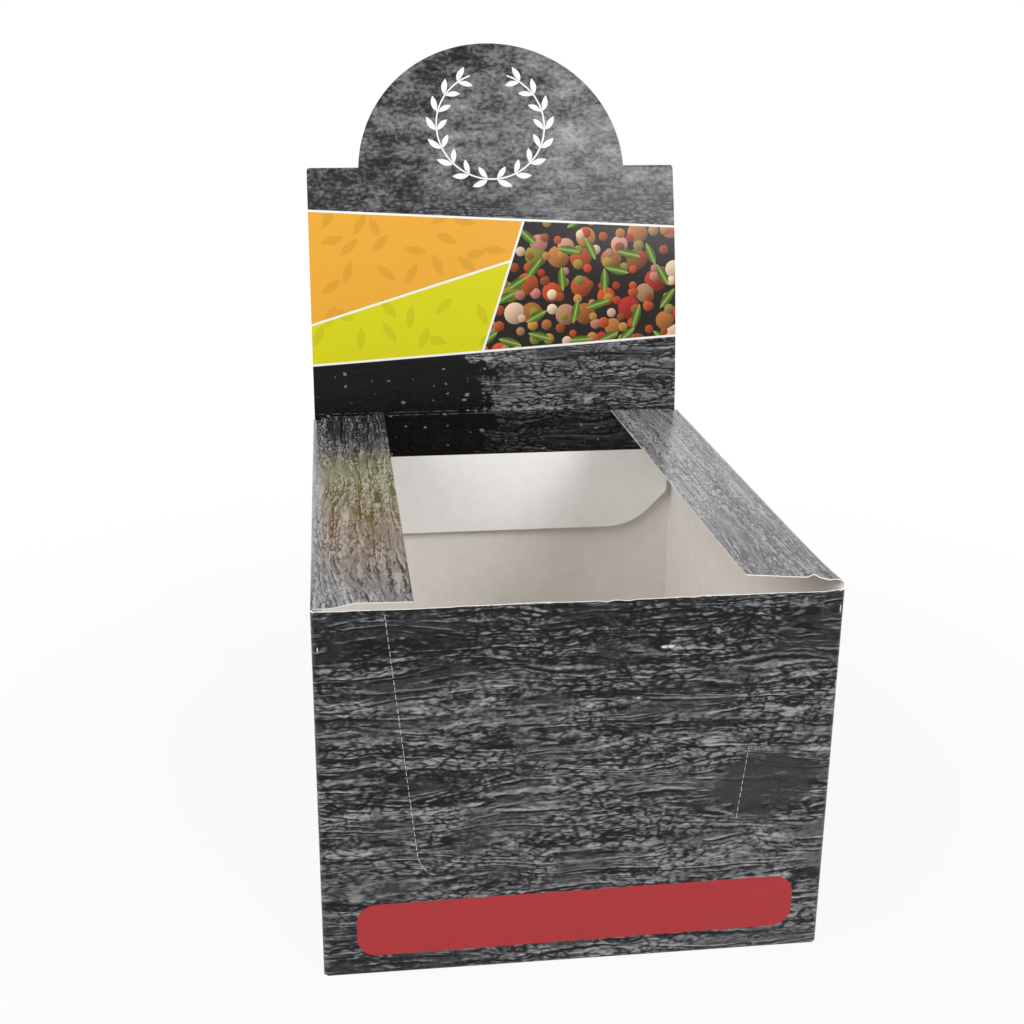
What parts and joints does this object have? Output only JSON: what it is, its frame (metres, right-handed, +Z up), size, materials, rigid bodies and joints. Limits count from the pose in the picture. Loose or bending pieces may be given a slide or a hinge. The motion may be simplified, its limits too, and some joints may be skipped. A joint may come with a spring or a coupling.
{
  "type": "folding carton",
  "caption": "Open counter display carton folded from printed board: a tray with hinged dust flaps, and a lid folded double into an upright header with a pop-up dome.",
  "frame": {"origin": "middle of the base, on the surface that the carton stands on", "axes": "+Z up, the front panel faces -Y, the header stands at the +Y side, and +X is the right-hand side seen from the front"},
  "size_m": [0.15, 0.2392, 0.2624],
  "materials": {
    "printed_board": "coated and varnished carton board, dark stone print outside, grey-beige and bare inside"
  },
  "bodies": {
    "carton": {"carton": "printed_board"},
    "left_flap": {"left_dust_flap": "printed_board"},
    "right_flap": {"right_dust_flap": "printed_board"}
  },
  "joints": [
    {"name": "left_flap_fold", "type": "hinge", "parent": "carton", "child": "left_flap", "pos_m": [-0.0747, 0, 0.118], "axis": [0, -1, 0], "range_deg": [0, 175]},
    {"name": "right_flap_fold", "type": "hinge", "parent": "carton", "child": "right_flap", "pos_m": [0.0747, 0, 0.118], "axis": [0, 1, 0], "range_deg": [0, 175]}
  ]
}
